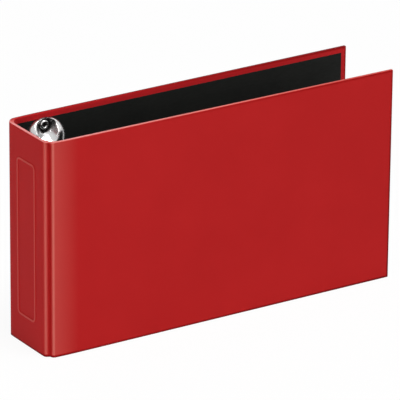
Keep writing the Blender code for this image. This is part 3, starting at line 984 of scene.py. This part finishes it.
def halfRing(name, way, height, node, body):
    # drawn in XY round the ring's centre, with the foot at the bottom on the +X side
    bm = bmesh.new()
    foot = Vector((ring["footX"], ring["footBottom"], 0))
    bmesh.ops.create_circle(bm, segments=ring["wireSides"], radius=ring["wire"], cap_ends=True)
    bmesh.ops.rotate(bm, verts=bm.verts, cent=(0, 0, 0), matrix=Matrix.Rotation(math.pi / 2, 3, "X"))
    bmesh.ops.translate(bm, verts=bm.verts, vec=foot)
    front = bm.faces[:]

    def swept(centre, angle, steps):
        made = bmesh.ops.spin(bm, geom=front, cent=centre, axis=(0, 0, 1), angle=angle, steps=steps)
        return only(bmesh.types.BMFace, made["geom_last"])

    def pushed(vec):
        made = bmesh.ops.extrude_face_region(bm, geom=front)
        bmesh.ops.translate(bm, vec=vec, verts=only(bmesh.types.BMVert, made["geom"]))
        return only(bmesh.types.BMFace, made["geom"])

    front = pushed(Vector((0, ring["bendHeight"] - ring["footBottom"], 0)))
    bendCentre = Vector((ring["bendX"], ring["bendHeight"], 0))
    front = swept(bendCentre, bendAngle - math.pi / 2, ring["bendSteps"])
    middle = Vector((0, ringRise, 0))
    here = front[0].calc_center_median() - middle
    startAngle = math.atan2(here.y, here.x)
    endAngle = math.acos(ring["tipGap"] / 2 / ring["radius"])
    front = swept(middle, endAngle - startAngle, ring["arcSteps"])
    # the fore half ends in a nib, and the spine half in a socket for it
    isFore = way > 0
    nibRadius = ring["nib"] if isFore else ring["nib"] + ring["nibClearance"]
    nibReach = ring["nibLength"] if isFore else -ring["nibLength"] - ring["nibClearance"]
    heading = Vector((-math.sin(endAngle), math.cos(endAngle), 0))
    bmesh.ops.inset_region(bm, faces=front, thickness=ring["wire"] - nibRadius, use_even_offset=True)
    front = pushed(heading * nibReach)
    # the sweeps leave discs across the inside of the wire
    discs = [face for face in bm.faces if all(len(edge.link_faces) > 2 for edge in face.edges)]
    bmesh.ops.delete(bm, geom=discs, context="FACES_ONLY")
    outward(bm)
    if isFore:
        softEdges(bm, front[0].edges[:], ring["tipRound"], ring["tipSteps"])
    bm.transform(Matrix.Translation(onBackCover(0, 0, height)) @ Matrix.Diagonal((way, -1, 1, 1)))
    outward(bm)
    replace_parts(piece(name, bm, steelBright, body, smooth=50), node)


for level, height in ringHeights.items():
    halfRing(level + "RingForeHalf", 1, height, level + "_ring_fore_side", "fore_side_jaw")
    halfRing(level + "RingSpineHalf", -1, height, level + "_ring_spine_side", "spine_side_jaw")
print("rings bent")

rivet = {
    "shank": 2.0 * mm,
    "flange": 3.1 * mm,
    "flangeSheet": 0.8 * mm,
    "bore": 1.25 * mm,
    "boreDepth": 1.9 * mm,
    "head": 4.25 * mm,
    "headRise": 1.2 * mm,
    "domeAngle": math.radians(62),
    "dimple": ((1.70, 1.10), (1.45, 1.02), (1.28, 0.78), (1.12, 0.64), (0, 0.60)),  # radius, rise in mm
    "headPaintedShade": 0.55,
    "paintedShadeSpare": 0.1 * mm,
    "seatGap": 0.25 * mm,
    "flangeGap": 0.05 * mm,
    "poleMerge": 0.005 * mm,
    "sides": 48,
    "rollSteps": 8,
}


def eyelet(name, height, node):
    # half profile as (radius, rise), spun round the shank's axis
    seat = mechanism["dishFloor"] + rivet["flangeGap"]
    rollMiddle = (rivet["bore"] + rivet["flange"]) / 2
    rollHalf = (rivet["flange"] - rivet["bore"]) / 2
    top = mechanism["dishFloor"] + rivet["seatGap"] + rivet["flangeSheet"]
    outside = -case["board"]
    profile = [(0, top - rivet["boreDepth"]), (rivet["bore"], top - rivet["boreDepth"])]
    for step in range(rivet["rollSteps"] + 1):
        turn = math.pi * (1 - step / rivet["rollSteps"])
        rise = top - rivet["flangeSheet"] + rivet["flangeSheet"] * math.sin(turn)
        profile.append((rollMiddle + rollHalf * math.cos(turn), rise))
    profile += [(rivet["flange"], seat), (rivet["shank"], seat), (rivet["shank"], outside)]
    for step in range(rivet["rollSteps"] + 1):
        turn = rivet["domeAngle"] * step / rivet["rollSteps"]
        profile.append((rivet["head"] * math.cos(turn), outside - rivet["headRise"] * math.sin(turn)))
    profile += [(radius * mm, outside - rise * mm) for radius, rise in rivet["dimple"]]
    bm = bmesh.new()
    points = [bm.verts.new((radius, rise, 0)) for radius, rise in profile]
    edges = [bm.edges.new(pair) for pair in zip(points, points[1:])]
    bmesh.ops.spin(
        bm,
        geom=points + edges,
        cent=(0, 0, 0),
        axis=(0, 1, 0),
        angle=2 * math.pi,
        steps=rivet["sides"],
        use_merge=True,
    )

    def rivetPaintedShade(co):
        # painted shade: the bore, the dimple and the rim of the head are darker
        radius = math.hypot(co.x, co.z)
        if co.y > 0:
            inBore = radius < rivet["bore"] + rivet["paintedShadeSpare"]
            return 1.0 if inBore and co.y < top - rivet["flangeSheet"] / 2 else 0.0
        inDimple = radius < rivet["dimple"][2][0] * mm + rivet["paintedShadeSpare"]
        onRim = radius > rivet["head"] - rivet["paintedShadeSpare"]
        return rivet["headPaintedShade"] if inDimple or onRim else 0.0

    markVerts(bm, "paintedShade", rivetPaintedShade)
    bm.transform(Matrix.Translation(onBackCover(0, 0, height)) @ Matrix.Diagonal((1, -1, 1, 1)))
    outward(bm, rivet["poleMerge"])
    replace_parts(piece(name, bm, steelBright, "back_cover", smooth=45), node)


for level, height in zip(("upper", "lower"), rivetHeights):
    eyelet(level + "Rivet", height, level + "_rivet")
print("rivets set")

for node in ("spine_side_blade", "fore_side_blade"):
    frame["nodes"][node].data.materials[0] = steelBright


# studio: pale floor, soft lamps and the photograph's camera

studio = {
    "floorSize": 14.0,
    "floorTone": (0.82, 0.82, 0.82, 1),
    "floorWhite": 0.93,
    "ambient": 0.28,
    "lamps": {
        # name: (place, aimed at, width, height, watts)
        "stripLamp": ((-1.75, -1.05, 0.45), (-0.1, 0, 0.07), 0.35, 0.9, 13.5),
        "frontLamp": ((1.2, -2.6, 1.5), (0, 0, 0.07), 1.4, 1.0, 9.0),
        "backLamp": ((0.6, 2.6, 1.2), (0, 0, 0.07), 1.4, 1.0, 17),
        "topLamp": ((0.25, -0.75, 2.3), (0, 0, 0.07), 1.2, 1.2, 47),
    },
}


def cameraSees(tree):
    # 1 for rays that should meet plain white
    path = addNode(tree, "ShaderNodeLightPath")
    total = path.outputs["Is Camera Ray"]
    for name in ("Is Glossy Ray", "Is Transmission Ray"):
        either = addNode(tree, "ShaderNodeMath", operation="MAXIMUM")
        tree.links.new(total, either.inputs[0])
        tree.links.new(path.outputs[name], either.inputs[1])
        total = either.outputs["Value"]
    return total


floorMesh = bmesh.new()
bmesh.ops.create_grid(floorMesh, x_segments=1, y_segments=1, size=studio["floorSize"] / 2)
mesh = bpy.data.meshes.new("floor")
floorMesh.to_mesh(mesh)
floorMesh.free()
floor = bpy.data.objects.new("floor", mesh)
bpy.context.collection.objects.link(floor)
floorPale = bpy.data.materials.new("floorPale")
floorPale.use_nodes = True
tree = floorPale.node_tree
tree.nodes.clear()
matt = addNode(tree, "ShaderNodeBsdfDiffuse", {"Color": studio["floorTone"]})
glow = addNode(tree, "ShaderNodeEmission", {"Color": white, "Strength": 1.0})
share = addNode(tree, "ShaderNodeMath", operation="MULTIPLY")
share.inputs[1].default_value = studio["floorWhite"]
both = addNode(tree, "ShaderNodeMixShader")
out = addNode(tree, "ShaderNodeOutputMaterial")
tree.links.new(cameraSees(tree), share.inputs[0])
tree.links.new(share.outputs["Value"], both.inputs[0])
tree.links.new(matt.outputs["BSDF"], both.inputs[1])
tree.links.new(glow.outputs["Emission"], both.inputs[2])
tree.links.new(both.outputs["Shader"], out.inputs["Surface"])
mesh.materials.append(floorPale)

world = bpy.data.worlds.new("paleRoom")
bpy.context.scene.world = world
world.use_nodes = True
tree = world.node_tree
room = tree.nodes["Background"]
room.inputs["Color"].default_value = white
strength = spread(tree, cameraSees(tree), studio["ambient"], 1.0, 0.0, 1.0)
tree.links.new(strength, room.inputs["Strength"])

for name, (where, aim, width, height, watts) in studio["lamps"].items():
    lampData = bpy.data.lights.new(name, "AREA")
    lampData.shape = "RECTANGLE"
    lampData.size, lampData.size_y = width, height
    lampData.energy = watts
    lamp = bpy.data.objects.new(name, lampData)
    lamp.location = where
    lamp.rotation_euler = (Vector(aim) - Vector(where)).to_track_quat("-Z", "Y").to_euler()
    bpy.context.collection.objects.link(lamp)

camera = {
    "place": (-1.40707, -2.13757, 1.09576),
    "yaw": 0.58208,
    "pitch": 0.38129,
    "roll": 0.00897,
    "lens": 400.84,
    "sensor": 36,
    "clip": (0.05, 50),
}
cameraData = bpy.data.cameras.new("photoCamera")
cameraData.lens = camera["lens"]
cameraData.sensor_width = camera["sensor"]
cameraData.clip_start, cameraData.clip_end = camera["clip"]
photoCamera = bpy.data.objects.new("photoCamera", cameraData)
photoCamera.location = camera["place"]
looking = Vector(
    (
        math.sin(camera["yaw"]) * math.cos(camera["pitch"]),
        math.cos(camera["yaw"]) * math.cos(camera["pitch"]),
        -math.sin(camera["pitch"]),
    )
)
photoCamera.rotation_euler = (
    looking.to_track_quat("-Z", "Y") @ Quaternion((0, 0, 1), camera["roll"])
).to_euler()
bpy.context.collection.objects.link(photoCamera)
bpy.context.scene.camera = photoCamera
bpy.context.scene.view_settings.view_transform = "Standard"
print("studio lit")
